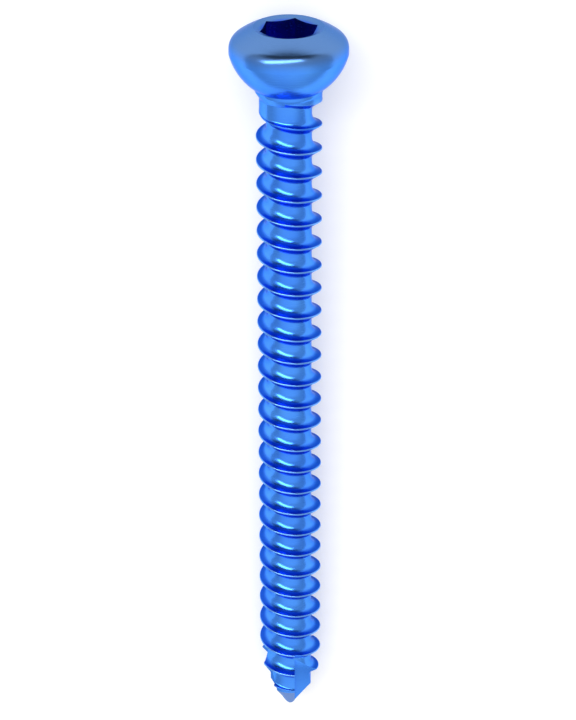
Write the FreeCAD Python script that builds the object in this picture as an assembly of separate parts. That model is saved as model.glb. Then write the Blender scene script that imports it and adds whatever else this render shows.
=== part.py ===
"""A cortical bone screw in one piece, laid on its side as it comes to rest. Sizes in millimetres."""

import math
import os

import FreeCAD
import Part

# Head, from the domed top down to the seat that beds in the plate
head_diameter = 8.0
dome_radius = 6.1
shoulder_radius = 1.0
band_height = 0.33
seat_height = 2.41

# Hexagonal drive socket
socket_across_flats = 3.5
socket_depth = 2.8
socket_angle = 18.0
countersink_diameter = 4.7
countersink_angle = 20.0
drill_point_angle = 30.0

# Plain collar under the seat, straight and then tapered to its foot
collar_diameter = 4.6
collar_length = 0.2
collar_taper_length = 0.52
collar_foot_diameter = 3.94

# Shaft
shaft_length = 49.85
core_diameter = 3.1
neck_diameter = 4.0
tip_angle = 72.0
tip_round = 0.35

# Thread, with a steep flank to the head and a sloping one to the tip
thread_diameter = 4.5
thread_pitch = 1.75
thread_hand = -1
thread_start_angle = 195.0
crest_width = 0.1
head_flank_angle = 3.0
tip_flank_angle = 35.0
flank_share = 0.72
root_run = 0.4
facets_per_turn = 24

# Run-in from the collar and run-out at the tip, in turns from the seat
lip_turn = 0.17
lip_diameter = 4.3
lip_full_turn = 0.38
lip_end_turn = 0.48
neck_turn = 1.0
full_depth_turn = 1.45
run_out_turns = 1.25
thread_end_to_tip = 1.75
least_ridge = 0.04

# Three cutting flutes at the tip, each left by the rim and one side of a disc cutter
flute_count = 3
flute_angle = 0.0
flute_face_offset = 0.33
flute_cutter_radius = 10.0
flute_cutter_past_tip = 0.45

# Room for cutters and for pieces that sink into each other before they are joined
overlap = 0.2

head_radius = head_diameter / 2
core_radius = core_diameter / 2
collar_radius = collar_diameter / 2
thread_radius = thread_diameter / 2
last_turn = (shaft_length - thread_end_to_tip) / thread_pitch

# The dome is round about this height on the axis, where it meets the shoulder's round
band_top = seat_height + band_height
dome_rise = math.sqrt((dome_radius - shoulder_radius) ** 2 - (head_radius - shoulder_radius) ** 2)
dome_centre = band_top - dome_rise


def polar(radius, angle, height):
    """A point at a radius and an angle in degrees about the screw's axis."""
    turned = math.radians(angle)
    return FreeCAD.Vector(radius * math.cos(turned), radius * math.sin(turned), height)


def revolved(edges):
    """The solid that a closed outline in the XZ plane sweeps about the axis."""
    face = Part.Face(Part.Wire(edges))
    return face.revolve(FreeCAD.Vector(0, 0, 0), FreeCAD.Vector(0, 0, 1), 360)


def in_section(radius, height):
    """A point of an outline that is to be revolved."""
    return FreeCAD.Vector(radius, 0, height)


def between(turn, stations):
    """A radius read off straight lines between stations, each a turn and a radius."""
    if turn <= stations[0][0]:
        return stations[0][1]
    for (start, start_radius), (end, end_radius) in zip(stations, stations[1:]):
        if turn <= end:
            share = (turn - start) / (end - start)
            return start_radius + share * (end_radius - start_radius)
    return stations[-1][1]


def crest_radius(turn):
    """The crest leaves the collar as a lip, sinks to the neck, rises again and runs out at the tip."""
    return between(
        turn,
        [
            (lip_turn, lip_diameter / 2),
            (lip_full_turn, thread_radius),
            (lip_end_turn, thread_radius),
            (neck_turn, neck_diameter / 2),
            (full_depth_turn, thread_radius),
            (last_turn - run_out_turns, thread_radius),
            (last_turn, core_radius + least_ridge),
        ],
    )


def groove_radius(turn):
    """The bottom of the groove on the head's side of the crest, full depth after the neck."""
    return between(
        turn,
        [
            (lip_turn, lip_diameter / 2 - least_ridge),
            (lip_full_turn, thread_radius - least_ridge),
            (lip_end_turn, thread_radius - least_ridge),
            (neck_turn, neck_diameter / 2 - least_ridge),
            (full_depth_turn, core_radius),
        ],
    )


def thread_section(turn):
    """The thread's outline over one pitch, from the groove above the crest to the groove below it."""
    crest = crest_radius(turn)
    groove = groove_radius(turn)
    next_groove = groove_radius(turn + 1)
    height = -turn * thread_pitch
    steep_run = (crest - groove) * math.tan(math.radians(head_flank_angle))
    depth = crest - next_groove
    slope_run = flank_share * depth * math.tan(math.radians(tip_flank_angle))
    slope_end = height - crest_width - slope_run
    full_depth = thread_radius - core_radius
    return [
        (groove, height + steep_run),
        (crest, height),
        (crest, height - crest_width),
        (crest - flank_share * depth, slope_end),
        (next_groove, slope_end - root_run * depth / full_depth),
    ]


def threaded_shaft():
    """The shaft as facets between sections of the thread, closed at both ends by fans to the axis."""
    first_step = -facets_per_turn
    last_step = math.ceil((shaft_length / thread_pitch + 1) * facets_per_turn)
    steps = range(first_step, last_step + 1)
    sections = [thread_section(step / facets_per_turn) for step in steps]
    for step in range(last_step + 1, last_step + facets_per_turn + 1):
        sections.append(thread_section(step / facets_per_turn))

    # Lines of points, one for each corner of the section
    corners = len(sections[0])
    points = []
    for step, section in enumerate(sections):
        angle = thread_start_angle - thread_hand * 360 * (first_step + step) / facets_per_turn
        points += [polar(radius, angle, height) for radius, height in section]

    def at(step, corner):
        """The last corner of a section is followed by the first one of the turn below."""
        if corner == corners:
            return (step + facets_per_turn) * corners
        return step * corners + corner

    facets = []
    ends = len(steps) - 1
    for step in range(ends):
        for corner in range(corners):
            a, b = at(step, corner), at(step, corner + 1)
            c, d = at(step + 1, corner + 1), at(step + 1, corner)
            facets += [(a, b, c), (a, c, d)]

    for step, side in ((0, 1), (ends, -1)):
        centre = len(points)
        middle = points[step * corners].z + points[(step + facets_per_turn) * corners].z
        points.append(FreeCAD.Vector(0, 0, middle / 2))
        rim = [at(step, corner) for corner in range(corners + 1)]
        rim += [at(step + turned, 0) for turned in range(facets_per_turn - 1, -1, -1)]
        for a, b in zip(rim, rim[1:]):
            facets.append((centre, b, a)[::side])

    shell = Part.Shape()
    shell.makeShapeFromMesh((points, facets), 1e-4)
    shaft = Part.Solid(Part.Shell(shell.Faces))
    if shaft.Volume < 0:
        shaft.reverse()
    return shaft


def head():
    """The domed head with its short band, its round seat and the collar under it."""
    dome_top = in_section(0, dome_centre + dome_radius)
    touch_angle = math.atan2(dome_rise, head_radius - shoulder_radius)
    shoulder_end = in_section(
        dome_radius * math.cos(touch_angle), dome_centre + dome_radius * math.sin(touch_angle)
    )
    shoulder_middle = in_section(
        head_radius - shoulder_radius + shoulder_radius * math.cos(touch_angle / 2),
        band_top + shoulder_radius * math.sin(touch_angle / 2),
    )
    dome_angle = (touch_angle + math.pi / 2) / 2
    dome_middle = in_section(
        dome_radius * math.cos(dome_angle), dome_centre + dome_radius * math.sin(dome_angle)
    )

    # The seat is part of a ball about the axis, through the rim and the collar's top edge
    seat_centre = (head_radius**2 + seat_height**2 - collar_radius**2) / (2 * seat_height)
    seat_radius = math.hypot(collar_radius, seat_centre)
    rim_angle = math.atan2(seat_height - seat_centre, head_radius)
    foot_angle = math.atan2(-seat_centre, collar_radius)
    middle_angle = (rim_angle + foot_angle) / 2
    seat_middle = in_section(
        seat_radius * math.cos(middle_angle), seat_centre + seat_radius * math.sin(middle_angle)
    )
    seat_foot = in_section(collar_radius, 0)
    collar_edge = in_section(collar_radius, -collar_length)
    collar_foot = in_section(collar_foot_diameter / 2, -collar_length - collar_taper_length)

    axis_foot = in_section(0, collar_foot.z)
    rim = in_section(head_radius, seat_height)
    band_end = in_section(head_radius, band_top)
    return revolved(
        [
            Part.LineSegment(axis_foot, collar_foot).toShape(),
            Part.LineSegment(collar_foot, collar_edge).toShape(),
            Part.LineSegment(collar_edge, seat_foot).toShape(),
            Part.Arc(seat_foot, seat_middle, rim).toShape(),
            Part.LineSegment(rim, band_end).toShape(),
            Part.Arc(band_end, shoulder_middle, shoulder_end).toShape(),
            Part.Arc(shoulder_end, dome_middle, dome_top).toShape(),
            Part.LineSegment(dome_top, axis_foot).toShape(),
        ]
    )


def socket_cutter():
    """The hexagon, the cone that a drill leaves at its floor and the countersink at its mouth."""
    mouth_radius = countersink_diameter / 2
    mouth = dome_centre + math.sqrt(dome_radius**2 - mouth_radius**2)
    floor = mouth - socket_depth
    corner_radius = socket_across_flats / math.sqrt(3)
    corners = [polar(corner_radius, socket_angle + 60 * corner, floor) for corner in range(6)]
    outline = Part.Face(Part.makePolygon(corners + corners[:1]))
    hexagon = outline.extrude(FreeCAD.Vector(0, 0, socket_depth + dome_radius))

    flat_radius = socket_across_flats / 2
    point_depth = flat_radius * math.tan(math.radians(drill_point_angle))
    down = FreeCAD.Vector(0, 0, -1)
    drill_point = Part.makeCone(flat_radius, 0, point_depth, FreeCAD.Vector(0, 0, floor), down)

    slope = math.tan(math.radians(countersink_angle))
    cone_height = mouth_radius * slope
    top_radius = mouth_radius + overlap / slope
    countersink = Part.makeCone(
        top_radius, 0, cone_height + overlap, FreeCAD.Vector(0, 0, mouth + overlap), down
    )
    return hexagon.fuse([drill_point, countersink])


def flute_cutters():
    """Disc cutters whose rims come down to the axis just past the tip and so run out up the thread."""
    centre = FreeCAD.Vector(
        flute_face_offset, -flute_cutter_radius, -shaft_length - flute_cutter_past_tip
    )
    width = thread_radius + overlap
    disc = Part.makeCylinder(flute_cutter_radius, width, centre, FreeCAD.Vector(1, 0, 0))
    cutters = []
    for number in range(flute_count):
        cutter = disc.copy()
        turned = flute_angle + number * 360 / flute_count
        cutter.rotate(FreeCAD.Vector(0, 0, 0), FreeCAD.Vector(0, 0, 1), turned)
        cutters.append(cutter)
    return cutters


def tip_cutter():
    """What is turned away outside the tip's cone and its rounded point."""
    half_angle = math.radians(tip_angle / 2)
    apex = -shaft_length - tip_round * (1 / math.sin(half_angle) - 1)
    round_centre = -shaft_length + tip_round
    touch_radius = tip_round * math.cos(half_angle)
    touch_height = round_centre - tip_round * math.sin(half_angle)
    outside = thread_radius + overlap
    cone_top = apex + outside / math.tan(half_angle)
    middle = (math.pi / 2 - half_angle) / 2
    below = -shaft_length - 3 * thread_pitch
    lowest = in_section(0, -shaft_length)
    touch = in_section(touch_radius, touch_height)
    on_round = in_section(
        tip_round * math.sin(middle), round_centre - tip_round * math.cos(middle)
    )
    corners = [
        touch,
        in_section(outside, cone_top),
        in_section(outside, below),
        in_section(0, below),
        lowest,
    ]
    sides = [Part.LineSegment(a, b).toShape() for a, b in zip(corners, corners[1:])]
    return revolved(sides + [Part.Arc(lowest, on_round, touch).toShape()])


def laid_down(screw):
    """The screw lies on the rim of its head and on the lowest crest, centred over the origin."""
    leans = [
        math.atan2(head_radius - corner.Y, seat_height - corner.Z)
        for corner in screw.Vertexes
        if corner.Z < 0
    ]
    lean = min(leans)
    screw.rotate(FreeCAD.Vector(0, 0, 0), FreeCAD.Vector(1, 0, 0), math.degrees(lean) - 90)
    rim_below_axis = head_radius * math.cos(lean) - seat_height * math.sin(lean)
    middle = screw.BoundBox.Center
    screw.translate(FreeCAD.Vector(-middle.x, -middle.y, rim_below_axis))
    return screw


def bone_screw():
    blank = threaded_shaft().cut(tip_cutter())
    blank = blank.cut(flute_cutters())
    screw = head().fuse(blank).cut(socket_cutter())
    return laid_down(screw.Solids[0])


os.makedirs("parts", exist_ok=True)
bone_screw().exportStep("parts/bone_screw.step")
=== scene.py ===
import math

import bpy
import numpy as np
from mathutils import Matrix, Vector


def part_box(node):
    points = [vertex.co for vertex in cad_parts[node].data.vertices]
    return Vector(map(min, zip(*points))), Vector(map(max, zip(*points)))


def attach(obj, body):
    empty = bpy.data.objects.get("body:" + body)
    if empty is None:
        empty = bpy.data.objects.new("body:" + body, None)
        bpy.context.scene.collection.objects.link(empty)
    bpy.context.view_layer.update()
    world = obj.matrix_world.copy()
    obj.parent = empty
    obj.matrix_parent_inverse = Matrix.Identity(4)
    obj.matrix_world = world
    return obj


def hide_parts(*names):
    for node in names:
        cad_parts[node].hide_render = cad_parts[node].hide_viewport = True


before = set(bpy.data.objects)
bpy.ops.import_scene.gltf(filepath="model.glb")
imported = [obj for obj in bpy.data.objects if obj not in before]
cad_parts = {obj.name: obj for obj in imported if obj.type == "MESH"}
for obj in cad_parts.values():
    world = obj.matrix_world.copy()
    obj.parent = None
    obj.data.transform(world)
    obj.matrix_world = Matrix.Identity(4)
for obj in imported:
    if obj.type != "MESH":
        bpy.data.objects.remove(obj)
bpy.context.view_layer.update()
print("frame loaded")

# The screw is drawn upright in millimetres, with its axis on Z and its seat's foot at zero,
# and is laid down in metres once it is whole
millimetre = 0.001
screwNode = "bone_screw"
overlap = 0.2  # how far the bodies that are cut away reach past the thread
sharpEdgeAngle = 26


def closedMesh(name, points, faces):
    mesh = bpy.data.meshes.new(name)
    mesh.from_pydata([tuple(p) for p in points], [], faces)
    mesh.validate()
    piece = bpy.data.objects.new(name, mesh)
    bpy.context.scene.collection.objects.link(piece)
    return piece


def joined(piece, other, operation):
    # The other mesh is added to the piece or cut from it, and is then thrown away
    step = piece.modifiers.new(operation, "BOOLEAN")
    step.operation = operation
    step.solver = "MANIFOLD"
    step.object = other
    bpy.context.view_layer.update()
    evaluated = piece.evaluated_get(bpy.context.evaluated_depsgraph_get())
    whole = bpy.data.meshes.new_from_object(evaluated)
    piece.modifiers.clear()
    piece.data = whole
    bpy.data.objects.remove(other)
    return piece


def arcPoints(centre, radius, start, end, steps):
    angles = np.linspace(start, end, steps + 1)
    return [(centre[0] + radius * math.cos(a), centre[1] + radius * math.sin(a)) for a in angles]


def roundedCorner(incoming, corner, outgoing, radius, steps):
    # The round that breaks a corner, for all sections at once; both directions have length one
    cosine = np.clip((incoming * outgoing).sum(1), -1, 1)
    turned = np.arccos(cosine)
    across = outgoing - cosine[:, None] * incoming
    across /= np.linalg.norm(across, axis=1)[:, None]
    start = corner - incoming * (radius * np.tan(turned / 2))[:, None]
    rounds = []
    for step in range(steps + 1):
        angle = turned * step / steps
        rounds.append(
            start
            + incoming * (radius * np.sin(angle))[:, None]
            + across * (radius * (1 - np.cos(angle)))[:, None]
        )
    return rounds


def ringFaces(rings, around):
    faces = []
    for ring in range(rings - 1):
        for side in range(around):
            after = (side + 1) % around
            a, b = ring * around + side, ring * around + after
            faces.append((a, b, b + around, a + around))
    return faces


def ringEnds(points, rings, around, first, last):
    # Points on the axis close the first and the last ring
    firstPoint, lastPoint = len(points), len(points) + 1
    points += [(0, 0, first), (0, 0, last)]
    lastRing = (rings - 1) * around
    faces = []
    for side in range(around):
        after = (side + 1) % around
        faces.append((firstPoint, after, side))
        faces.append((lastPoint, lastRing + side, lastRing + after))
    return faces


# The head is a domed button with a round seat, and a short collar under it
head = {
    "diameter": 8.0,
    "domeRadius": 6.1,
    "shoulderRadius": 1.0,
    "bandHeight": 0.33,
    "seatHeight": 2.41,
    "rimRound": 0.5,
    "mouthRound": 0.06,
    "collarDiameter": 4.6,
    "collarLength": 0.2,
    "collarTaperLength": 0.52,
    "collarFootDiameter": 3.94,
    "collarEdge": {"inward": 0.02, "below": 0.03, "above": 0.02},
    "sides": 240,
    "steps": {"seat": 26, "rim": 4, "shoulder": 14, "dome": 16, "mouth": 4},
}

# A hexagon with a countersunk mouth and a drilled point
socket = {
    "acrossFlats": 3.5,
    "depth": 2.8,
    "angle": 18.0,
    "countersinkDiameter": 4.7,
    "countersinkAngle": 20.0,
    "drillPointAngle": 30.0,
    "drillShare": 0.985,  # the drill's radius as a share of the hexagon's half width
    "wallRings": (0.3, 0.7),  # where the wall is divided, as shares of its height
}


def headOutline():
    # From the collar's foot over the seat, the rim and the dome to the socket's mouth
    radius, shoulder, steps = head["diameter"] / 2, head["shoulderRadius"], head["steps"]
    seatHeight, rimRound = head["seatHeight"], head["rimRound"]
    collar, foot = head["collarDiameter"] / 2, head["collarFootDiameter"] / 2
    collarEnd = -head["collarLength"]
    edge = head["collarEdge"]
    outline = [
        (foot, collarEnd - head["collarTaperLength"]),
        (collar - edge["inward"], collarEnd - edge["below"]),
        (collar, collarEnd + edge["above"]),
    ]

    # The seat is part of a ball about the axis, through the rim and the collar's top edge
    seatCentre = (radius ** 2 + seatHeight ** 2 - collar ** 2) / (2 * seatHeight)
    seatRadius = math.hypot(collar, seatCentre)
    rimAngle = math.atan2(seatHeight - seatCentre, radius)
    footAngle = math.atan2(-seatCentre, collar)
    tangent = rimRound * math.tan(-rimAngle / 2)
    rimStart = rimAngle - tangent / seatRadius
    outline += arcPoints((0, seatCentre), seatRadius, footAngle, rimStart, steps["seat"])
    roundCentre = (radius - rimRound, seatHeight + tangent)
    outline += arcPoints(roundCentre, rimRound, rimAngle, 0, steps["rim"])[1:]

    # The dome meets the shoulder's round on one tangent
    bandTop = seatHeight + head["bandHeight"]
    rise = math.sqrt((head["domeRadius"] - shoulder) ** 2 - (radius - shoulder) ** 2)
    domeCentre = bandTop - rise
    domeStart = math.atan2(rise, radius - shoulder)
    shoulderCentre = (radius - shoulder, bandTop)
    outline += arcPoints(shoulderCentre, shoulder, 0, domeStart, steps["shoulder"])
    mouthRadius = socket["countersinkDiameter"] / 2
    mouth = domeCentre + math.sqrt(head["domeRadius"] ** 2 - mouthRadius ** 2)
    domeEnd = math.atan2(mouth - domeCentre, mouthRadius)
    dome = arcPoints((0, domeCentre), head["domeRadius"], domeStart, domeEnd, steps["dome"])
    outline += dome[1:-1]

    # The mouth's edge is broken a little, between the dome's tangent and the countersink
    inward = np.array([[-math.sin(domeEnd), math.cos(domeEnd)]])
    slope = math.radians(socket["countersinkAngle"])
    downward = np.array([[-math.cos(slope), -math.sin(slope)]])
    corner = np.array([[mouthRadius, mouth]])
    mouthRound = np.array([head["mouthRound"]])
    edgeRound = roundedCorner(inward, corner, downward, mouthRound, steps["mouth"])
    outline += [tuple(point[0]) for point in edgeRound]
    return outline, mouth


def buildHead():
    outline, mouth = headOutline()
    sides = head["sides"]
    angles = math.radians(socket["angle"]) + np.arange(sides) * 2 * math.pi / sides
    rings = [(np.full(sides, r), np.full(sides, z)) for r, z in outline]

    # The hexagon's wall in polar form; its corners fall on points of the rings
    apothem = socket["acrossFlats"] / 2
    offCorner = np.mod(angles - math.radians(socket["angle"]), math.pi / 3) - math.pi / 6
    wall = apothem / np.cos(offCorner)
    slope = math.tan(math.radians(socket["countersinkAngle"]))
    wallTop = mouth - (socket["countersinkDiameter"] / 2 - wall) * slope
    floor = mouth - socket["depth"]
    for share in (0, *socket["wallRings"], 1):
        rings.append((wall, wallTop + (floor - wallTop) * share))
    drillRadius = apothem * socket["drillShare"]
    drillEnd = floor - drillRadius * math.tan(math.radians(socket["drillPointAngle"]))
    rings.append((np.full(sides, drillRadius), np.full(sides, floor)))

    points = []
    for radii, heights in rings:
        points += list(np.stack([radii * np.cos(angles), radii * np.sin(angles), heights], 1))
    faces = ringFaces(len(rings), sides)
    faces += ringEnds(points, len(rings), sides, outline[0][1], drillEnd)
    return closedMesh("screwHead", points, faces)


# One left-hand thread, steep to the head and sloping to the tip, with round roots. It starts
# as a lip under the neck, and its turns are counted from the seat's foot.
shaft = {
    "length": 49.85,
    "topHeight": 0.2,
    "coreDiameter": 3.1,
    "neckDiameter": 4.0,
    "threadDiameter": 4.5,
    "pitch": 1.75,
    "startAngle": 195.0,
    "crestWidth": 0.1,
    "steepRoot": {"round": 0.68, "steps": 6},
    "steepCrest": {"round": 0.08, "steps": 5},
    "slopingCrest": {"round": 0.03, "steps": 3},
    "slopingRoot": {"round": 0.45, "steps": 6},
    "headFlankAngle": 3.0,
    "tipFlankAngle": 35.0,
    "lipTurn": 0.17,
    "lipDiameter": 4.3,
    "lipFullTurn": 0.38,
    "lipEndTurn": 0.48,
    "neckTurn": 1.0,
    "fullDepthTurn": 1.45,
    "runOutTurns": 1.25,
    "threadEndToTip": 1.75,
    "turnsPastTip": 1,
    "leastRidge": 0.01,
    "stepsPerTurn": 72,
}


def threadSections(turns):
    coreRadius, threadRadius = shaft["coreDiameter"] / 2, shaft["threadDiameter"] / 2
    neckRadius, lipRadius = shaft["neckDiameter"] / 2, shaft["lipDiameter"] / 2
    ridge = shaft["leastRidge"]
    lastTurn = (shaft["length"] - shaft["threadEndToTip"]) / shaft["pitch"]
    runIn = [
        shaft["lipTurn"],
        shaft["lipFullTurn"],
        shaft["lipEndTurn"],
        shaft["neckTurn"],
        shaft["fullDepthTurn"],
    ]
    runInRadii = [lipRadius, threadRadius, threadRadius, neckRadius]
    crest = np.interp(
        turns,
        runIn + [lastTurn - shaft["runOutTurns"], lastTurn],
        runInRadii + [threadRadius, threadRadius, coreRadius + ridge],
    )

    def grooveAt(at):
        return np.interp(at, runIn, [radius - ridge for radius in runInRadii] + [coreRadius])

    def direction(vector):
        return vector / np.linalg.norm(vector, axis=1)[:, None]

    # Each section runs down from its groove over the crest to the groove of the next turn
    groove, nextGroove = grooveAt(turns), grooveAt(turns + 1)
    height = -turns * shaft["pitch"]
    crestEnd = height - shaft["crestWidth"]
    steep = math.tan(math.radians(shaft["headFlankAngle"]))
    sloping = math.tan(math.radians(shaft["tipFlankAngle"]))
    above, below = crest - groove, crest - nextGroove
    corners = [
        np.stack([groove, height + above * steep], 1),
        np.stack([crest, height], 1),
        np.stack([crest, crestEnd], 1),
        np.stack([nextGroove, crestEnd - below * sloping], 1),
    ]
    down = np.tile([[0.0, -1.0]], (len(turns), 1))
    flanks = [direction(b - a) for a, b in zip(corners, corners[1:])]
    ways = [down, *flanks, down]

    # The rounds shrink where the thread is low
    fullDepth = threadRadius - coreRadius
    shareAbove = np.clip(above / fullDepth, 0, 1)
    shareBelow = np.clip(below / fullDepth, 0, 1)
    edges = (
        (shaft["steepRoot"], shareAbove),
        (shaft["steepCrest"], shareAbove),
        (shaft["slopingCrest"], shareBelow),
        (shaft["slopingRoot"], shareBelow),
    )
    sections = []
    for corner, incoming, outgoing, (edge, share) in zip(corners, ways, ways[1:], edges):
        sections += roundedCorner(incoming, corner, outgoing, edge["round"] * share, edge["steps"])
    return np.stack(sections, 1)


def buildShaft():
    perTurn = shaft["stepsPerTurn"]
    firstStep = -perTurn
    lastStep = math.ceil((shaft["length"] / shaft["pitch"] + shaft["turnsPastTip"]) * perTurn)
    turns = np.arange(firstStep, lastStep + perTurn + 1) / perTurn
    sections = threadSections(turns)
    perSection = sections.shape[1]
    angles = (np.radians(shaft["startAngle"]) + 2 * math.pi * turns)[:, None]
    radii, heights = sections[:, :, 0], sections[:, :, 1]
    points = np.stack([radii * np.cos(angles), radii * np.sin(angles), heights], 2)
    points = points.reshape(-1, 3).tolist()

    def at(step, corner):
        # A section's last point is followed by the first one of the turn below
        if corner == perSection:
            return (step + perTurn) * perSection
        return step * perSection + corner

    faces = []
    ends = lastStep - firstStep
    for step in range(ends):
        for corner in range(perSection):
            faces.append((
                at(step, corner),
                at(step, corner + 1),
                at(step + 1, corner + 1),
                at(step + 1, corner),
            ))
    # Each end is a winding fan about a point on the axis
    for step, order in ((0, -1), (ends, 1)):
        middle = (points[step * perSection][2] + points[(step + perTurn) * perSection][2]) / 2
        centre = len(points)
        points.append((0, 0, middle))
        rim = [at(step, corner) for corner in range(perSection + 1)]
        rim += [at(step + turned, 0) for turned in range(perTurn - 1, -1, -1)]
        for a, b in zip(rim, rim[1:]):
            faces.append((centre, a, b)[::order])
    # The points past the last step are there only for the turn above them
    used = sorted({corner for face in faces for corner in face})
    renumbered = {old: new for new, old in enumerate(used)}
    faces = [tuple(renumbered[corner] for corner in face) for face in faces]
    return closedMesh("screwShaft", [points[old] for old in used], faces)


def buildTopWaste():
    # The shaft's winding start stands up inside the head, so it is cut flat below the socket
    half = shaft["threadDiameter"] / 2 + overlap
    corners = ((-half, -half), (half, -half), (half, half), (-half, half))
    points = [(x, y, z) for z in (shaft["topHeight"], 2 * shaft["pitch"]) for x, y in corners]
    faces = [(3, 2, 1, 0), (4, 5, 6, 7)]
    faces += [(a, (a + 1) % 4, (a + 1) % 4 + 4, a + 4) for a in range(4)]
    return closedMesh("topWaste", points, faces)


# A short cone with a rounded point, cut with a ring of waste that reaches below the thread
tip = {"angle": 72.0, "round": 0.35, "roundSteps": 8, "wasteTurns": 3, "sides": 180}


def buildTipWaste():
    half = math.radians(tip["angle"] / 2)
    tipHeight = -shaft["length"]
    apex = tipHeight - tip["round"] * (1 / math.sin(half) - 1)
    roundCentre = tipHeight + tip["round"]
    outside = shaft["threadDiameter"] / 2 + overlap
    below = tipHeight - tip["wasteTurns"] * shaft["pitch"]
    point = arcPoints((0, roundCentre), tip["round"], -math.pi / 2, -half, tip["roundSteps"])
    outline = point[1:] + [(outside, apex + outside / math.tan(half)), (outside, below)]
    sides = tip["sides"]
    angles = np.arange(sides) * 2 * math.pi / sides
    points = []
    for radius, height in outline:
        points += [(radius * math.cos(a), radius * math.sin(a), height) for a in angles]
    faces = ringFaces(len(outline), sides)
    faces += ringEnds(points, len(outline), sides, tipHeight, below)
    piece = closedMesh("tipWaste", points, faces)
    piece.data.flip_normals()
    return piece


# Three flutes, each cut by a disc that runs out up the thread
flutes = {
    "count": 3,
    "angle": 0.0,
    "faceOffset": 0.33,
    "cutterRadius": 10.0,
    "cutterPastTip": 0.45,
    "sides": 360,
}


def buildCutter(number):
    sides, radius = flutes["sides"], flutes["cutterRadius"]
    width = shaft["threadDiameter"] / 2 + overlap
    centreHeight = -shaft["length"] - flutes["cutterPastTip"]
    turned = math.radians(flutes["angle"] + number * 360 / flutes["count"])
    points = []
    for x in (flutes["faceOffset"], flutes["faceOffset"] + width):
        for side in range(sides):
            angle = 2 * math.pi * side / sides
            y, z = -radius + radius * math.cos(angle), centreHeight + radius * math.sin(angle)
            points.append((
                x * math.cos(turned) - y * math.sin(turned),
                x * math.sin(turned) + y * math.cos(turned),
                z,
            ))
    faces = [(a, a + sides, (a + 1) % sides + sides, (a + 1) % sides) for a in range(sides)]
    faces.append(tuple(range(sides)))
    faces.append(tuple(range(2 * sides - 1, sides - 1, -1)))
    piece = closedMesh("fluteCutter", points, faces)
    piece.data.flip_normals()
    return piece


screw = buildShaft()
joined(screw, buildTopWaste(), "DIFFERENCE")
joined(screw, buildTipWaste(), "DIFFERENCE")
for number in range(flutes["count"]):
    joined(screw, buildCutter(number), "DIFFERENCE")
print("shaft cut:", len(screw.data.polygons), "faces")
joined(screw, buildHead(), "UNION")
screw.name = "boneScrew"
screw.data.name = "boneScrew"
print("head joined:", len(screw.data.polygons), "faces")


def laidDown(piece):
    # The screw lies on the rim of its head and on its lowest crest
    points = np.empty(len(piece.data.vertices) * 3)
    piece.data.vertices.foreach_get("co", points)
    points = points.reshape(-1, 3)
    shaftPoints = points[points[:, 2] < 0]
    drop = head["diameter"] / 2 - shaftPoints[:, 1]
    lean = np.arctan2(drop, head["seatHeight"] - shaftPoints[:, 2]).min()
    turn = Matrix.Rotation(lean - math.pi / 2, 4, "X")
    laid = points @ np.array(turn.to_3x3()).T
    low, high = laid.min(0), laid.max(0)
    nodeLow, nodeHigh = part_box(screwNode)
    middle = (nodeLow + nodeHigh) / 2 / millimetre
    shift = Vector((
        middle.x - (low[0] + high[0]) / 2,
        middle.y - (low[1] + high[1]) / 2,
        nodeLow.z / millimetre - low[2],
    ))
    place = Matrix.Scale(millimetre, 4) @ Matrix.Translation(shift) @ turn
    piece.data.transform(place)
    print("lean", round(math.degrees(lean), 4), "shift", tuple(round(s, 4) for s in shift))
    return place


screwPlace = laidDown(screw)
screw.data.shade_smooth()
screw.data.set_sharp_from_angle(angle=math.radians(sharpEdgeAngle))


def mathNode(tree, operation, first, second):
    # The first value is another node's; the second may also be a plain number
    node = tree.nodes.new("ShaderNodeMath")
    node.operation = operation
    tree.links.new(first, node.inputs[0])
    if isinstance(second, float):
        node.inputs[1].default_value = second
    else:
        tree.links.new(second, node.inputs[1])
    return node.outputs["Value"]


def rangeNode(tree, value, before, after=(0.0, 1.0), kind="SMOOTHSTEP"):
    node = tree.nodes.new("ShaderNodeMapRange")
    node.interpolation_type = kind
    node.inputs["From Min"].default_value, node.inputs["From Max"].default_value = before
    node.inputs["To Min"].default_value, node.inputs["To Max"].default_value = after
    tree.links.new(value, node.inputs["Value"])
    return node.outputs["Result"]


def cosineNode(tree, vector, direction):
    node = tree.nodes.new("ShaderNodeVectorMath")
    node.operation = "DOT_PRODUCT"
    node.inputs[1].default_value = direction
    tree.links.new(vector, node.inputs[0])
    return node.outputs["Value"]


def noiseNode(tree, vector, scale, detail):
    node = tree.nodes.new("ShaderNodeTexNoise")
    node.inputs["Scale"].default_value = scale
    node.inputs["Detail"].default_value = detail
    tree.links.new(vector, node.inputs["Vector"])
    return node.outputs["Fac"]


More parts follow.
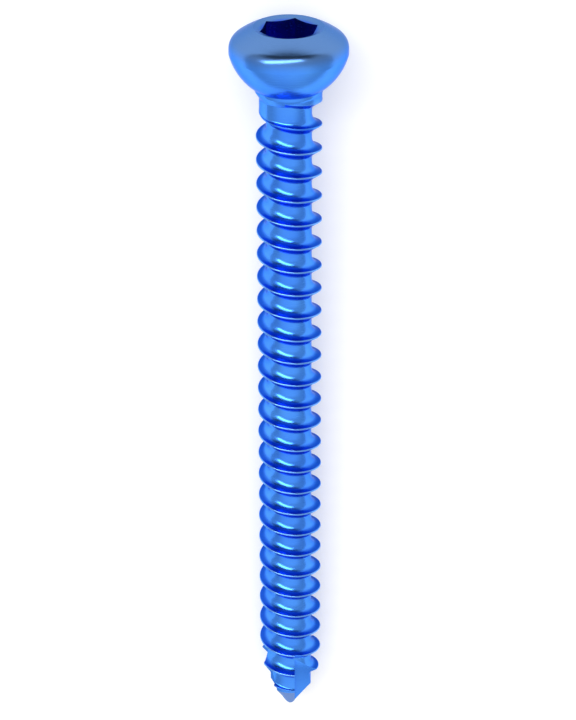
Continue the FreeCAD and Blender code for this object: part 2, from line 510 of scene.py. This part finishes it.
# Blue anodised titanium, satin from tumbling, with fine tool marks round the axis
mouthHeight, tipHeight = headOutline()[1], -shaft["length"]
finish = {
    "deepBlue": (0.055, 0.255, 0.97),
    "blue": (0.08, 0.33, 1.0),
    "blueEnds": (0.3, 0.7),
    "blueScale": 0.35,
    "blueDetail": 3.0,
    "edgeTint": (0.42, 0.56, 0.88),
    "roughness": (0.2, 0.31),
    "coatWeight": 0.08,
    "coatRoughness": 0.15,
    "markScale": 14.0,
    "markDetail": 4.0,
    "markStrength": 0.35,
    "markDepth": 0.000004,
    # Each paint covers the colour below it where all its values are past their limits: height
    # on the screw and distance out from its axis, and how far the surface faces the head
    "paints": [
        # Painted reflection: the dome above the rim is painted a greyer, darker blue, for the
        # reflections on it
        {"on": "dome", "color": (0.1, 0.22, 0.49), "limits": [("height", 2.4, 3.5)]},
        # Painted shade: the socket's hollow is painted a dark blue, for the shade inside it
        {"on": "socket", "color": (0.03, 0.085, 0.6), "limits": [
            ("height", mouthHeight - 0.1, mouthHeight - 0.25),
            ("height", 0.0, 0.2),
            ("out", 2.12, 2.04),
        ]},
        # Painted shade: the flanks that face the head, down in the grooves, are painted a deeper,
        # darker blue, for the shade and blue reflections between the turns
        {"on": "steepFlankShade", "color": (0.01, 0.09, 0.58), "limits": [
            ("height", -0.4, -0.9),
            ("out", 1.5, 1.72),
            ("facing", 0.65, 0.95),
        ]},
        # Painted highlight: the thread's crests are painted a paler blue, for the bright line along
        # them
        {"on": "crest", "color": (0.17, 0.42, 0.95), "limits": [
            ("height", -0.4, -0.9),
            ("out", 2.18, 2.24),
        ]},
        {"on": "tipCone", "color": (0.2, 0.29, 0.52), "limits": [
            ("height", tipHeight + 2.6, tipHeight + 2.2),
            ("facing", -0.3, -0.5),
        ]},
    ],
}


def anodisedTitanium():
    material = bpy.data.materials.new("anodisedTitanium")
    material.use_nodes = True
    tree = material.node_tree
    nodes, links = tree.nodes, tree.links
    shader = nodes["Principled BSDF"]
    shader.inputs["Metallic"].default_value = 1.0
    shader.inputs["Specular Tint"].default_value = (*finish["edgeTint"], 1)
    shader.inputs["Coat Weight"].default_value = finish["coatWeight"]
    shader.inputs["Coat Roughness"].default_value = finish["coatRoughness"]

    # Place on the upright screw, in millimetres
    place = nodes.new("ShaderNodeTexCoord")
    upright = nodes.new("ShaderNodeMapping")
    back = screwPlace.inverted()
    upright.inputs["Rotation"].default_value = back.to_euler()
    upright.inputs["Location"].default_value = back.to_translation()
    upright.inputs["Scale"].default_value = (1 / millimetre,) * 3
    links.new(place.outputs["Object"], upright.inputs["Vector"])
    parts = nodes.new("ShaderNodeSeparateXYZ")
    links.new(upright.outputs["Vector"], parts.inputs["Vector"])
    flat = nodes.new("ShaderNodeCombineXYZ")
    links.new(parts.outputs["X"], flat.inputs["X"])
    links.new(parts.outputs["Y"], flat.inputs["Y"])
    out = nodes.new("ShaderNodeVectorMath")
    out.operation = "LENGTH"
    links.new(flat.outputs["Vector"], out.inputs[0])
    toHead = (screwPlace.to_3x3() @ Vector((0, 0, 1))).normalized()
    values = {
        "height": parts.outputs["Z"],
        "out": out.outputs["Value"],
        "facing": cosineNode(tree, place.outputs["Normal"], toHead),
    }

    # The blue drifts a little over the metal; the paints over it are mostly painted light and shade
    tone = noiseNode(tree, upright.outputs["Vector"], finish["blueScale"], finish["blueDetail"])
    blues = nodes.new("ShaderNodeValToRGB")
    shades = (finish["deepBlue"], finish["blue"])
    for stop, end, shade in zip(blues.color_ramp.elements, finish["blueEnds"], shades):
        stop.position = end
        stop.color = (*shade, 1)
    links.new(tone, blues.inputs["Fac"])
    color = blues.outputs["Color"]
    for paint in finish["paints"]:
        share = None
        for value, start, end in paint["limits"]:
            mask = rangeNode(tree, values[value], (start, end))
            share = mask if share is None else mathNode(tree, "MULTIPLY", share, mask)
        blended = nodes.new("ShaderNodeMix")
        blended.data_type = "RGBA"
        blended.label = paint["on"]
        links.new(share, blended.inputs["Factor"])
        links.new(color, blended.inputs["A"])
        blended.inputs["B"].default_value = (*paint["color"], 1)
        color = blended.outputs["Result"]
    links.new(color, shader.inputs["Base Color"])

    # The marks are the same all round the axis, as a lathe leaves them
    profile = nodes.new("ShaderNodeCombineXYZ")
    links.new(values["height"], profile.inputs["X"])
    links.new(values["out"], profile.inputs["Y"])
    marks = noiseNode(tree, profile.outputs["Vector"], finish["markScale"], finish["markDetail"])
    relief = nodes.new("ShaderNodeBump")
    relief.inputs["Strength"].default_value = finish["markStrength"]
    relief.inputs["Distance"].default_value = finish["markDepth"]
    links.new(marks, relief.inputs["Height"])
    links.new(relief.outputs["Normal"], shader.inputs["Normal"])
    gloss = rangeNode(tree, marks, (0.0, 1.0), finish["roughness"], "LINEAR")
    links.new(gloss, shader.inputs["Roughness"])
    return material


screw.data.materials.clear()
screw.data.materials.append(anodisedTitanium())
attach(screw, "root")
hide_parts(screwNode)
print("finish given")


# A pale sheet in a pale room, in metres and watts
studio = {
    "floorSize": 3.0,
    "floorColor": (0.85, 0.85, 0.85),
    "floorRoughness": 0.9,
    "floorSpecular": 0.1,
    "floorGlow": 0.27,
    "horizonLight": 0.6,
    "ceilingLight": 0.67,
    "horizonToCeiling": (0.1, 0.9),
    # Each end of the room: its direction, the cosines where it starts and is whole, and how
    # much of the light it leaves
    "ends": [
        {"toward": (0.0, 0.95, 0.31), "start": 0.72, "whole": 0.92, "share": 0.05},
        {"toward": (0.0, -0.55, 0.83), "start": 0.5, "whole": 0.95, "share": 1.47},
    ],
    "softBox": {"place": (-0.12, 0.33, 0.42), "aim": (0, 0, 0), "size": (0.75, 0.16), "power": 2.1},
}


def buildFloor():
    half = studio["floorSize"] / 2
    mesh = bpy.data.meshes.new("floor")
    corners = [(-half, -half, 0), (half, -half, 0), (half, half, 0), (-half, half, 0)]
    mesh.from_pydata(corners, [], [(0, 1, 2, 3)])
    floor = bpy.data.objects.new("floor", mesh)
    bpy.context.scene.collection.objects.link(floor)
    paper = bpy.data.materials.new("palePaper")
    paper.use_nodes = True
    tree = paper.node_tree
    shader = tree.nodes["Principled BSDF"]
    shader.inputs["Base Color"].default_value = (*studio["floorColor"], 1)
    shader.inputs["Roughness"].default_value = studio["floorRoughness"]
    shader.inputs["Specular IOR Level"].default_value = studio["floorSpecular"]
    # The sheet shows white to the eye and to the metal, and still takes the screw's shadow
    shader.inputs["Emission Color"].default_value = (1, 1, 1, 1)
    seen = tree.nodes.new("ShaderNodeLightPath").outputs
    glow = mathNode(tree, "MAXIMUM", seen["Is Camera Ray"], seen["Is Glossy Ray"])
    glow = mathNode(tree, "MAXIMUM", glow, seen["Is Transmission Ray"])
    glow = mathNode(tree, "MULTIPLY", glow, studio["floorGlow"])
    tree.links.new(glow, shader.inputs["Emission Strength"])
    mesh.materials.append(paper)


def buildLight():
    world = bpy.data.worlds.new("studio")
    bpy.context.scene.world = world
    world.use_nodes = True
    tree = world.node_tree
    # A soft ceiling of light, brighter past the tip and dim beyond the head
    around = tree.nodes.new("ShaderNodeTexCoord").outputs["Generated"]
    way = tree.nodes.new("ShaderNodeSeparateXYZ")
    tree.links.new(around, way.inputs["Vector"])
    levels = (studio["horizonLight"], studio["ceilingLight"])
    light = rangeNode(tree, way.outputs["Z"], studio["horizonToCeiling"], levels)
    for end in studio["ends"]:
        cosine = cosineNode(tree, around, end["toward"])
        left = rangeNode(tree, cosine, (end["start"], end["whole"]), (1.0, end["share"]))
        light = mathNode(tree, "MULTIPLY", light, left)
    background = tree.nodes["Background"]
    background.inputs["Color"].default_value = (1, 1, 1, 1)
    tree.links.new(light, background.inputs["Strength"])

    box = studio["softBox"]
    lamp = bpy.data.lights.new("softBox", "AREA")
    lamp.shape = "RECTANGLE"
    lamp.size, lamp.size_y = box["size"]
    lamp.energy = box["power"]
    holder = bpy.data.objects.new("softBox", lamp)
    holder.location = box["place"]
    holder.rotation_mode = "QUATERNION"
    toAim = Vector(box["aim"]) - Vector(box["place"])
    holder.rotation_quaternion = toAim.to_track_quat("-Z", "Y")
    bpy.context.scene.collection.objects.link(holder)


# The camera stands before the upright screw, a little above its head, and looks down on it
view = {
    "place": (-0.107, -156.1, 61.46),  # millimetres, on the upright screw
    "pitch": 27.72,
    "roll": -0.151,
    "lens": 125.15,
    "sensor": 36.0,
    "reach": (0.01, 10.0),  # the nearest and furthest that it sees, in metres
}


def buildCamera():
    camera = bpy.data.cameras.new("camera")
    camera.lens = view["lens"]
    camera.sensor_width = view["sensor"]
    camera.clip_start, camera.clip_end = view["reach"]
    holder = bpy.data.objects.new("camera", camera)
    bpy.context.scene.collection.objects.link(holder)
    pitch = Matrix.Rotation(math.radians(90 - view["pitch"]), 4, "X")
    roll = Matrix.Rotation(math.radians(view["roll"]), 4, "Z")
    upright = Matrix.Translation(Vector(view["place"])) @ pitch @ roll
    spot, turn, _ = (screwPlace @ upright).decompose()
    holder.location = spot
    holder.rotation_mode = "QUATERNION"
    holder.rotation_quaternion = turn
    bpy.context.scene.camera = holder


buildFloor()
buildLight()
buildCamera()
bpy.context.scene.view_settings.view_transform = "Standard"
print("studio set")
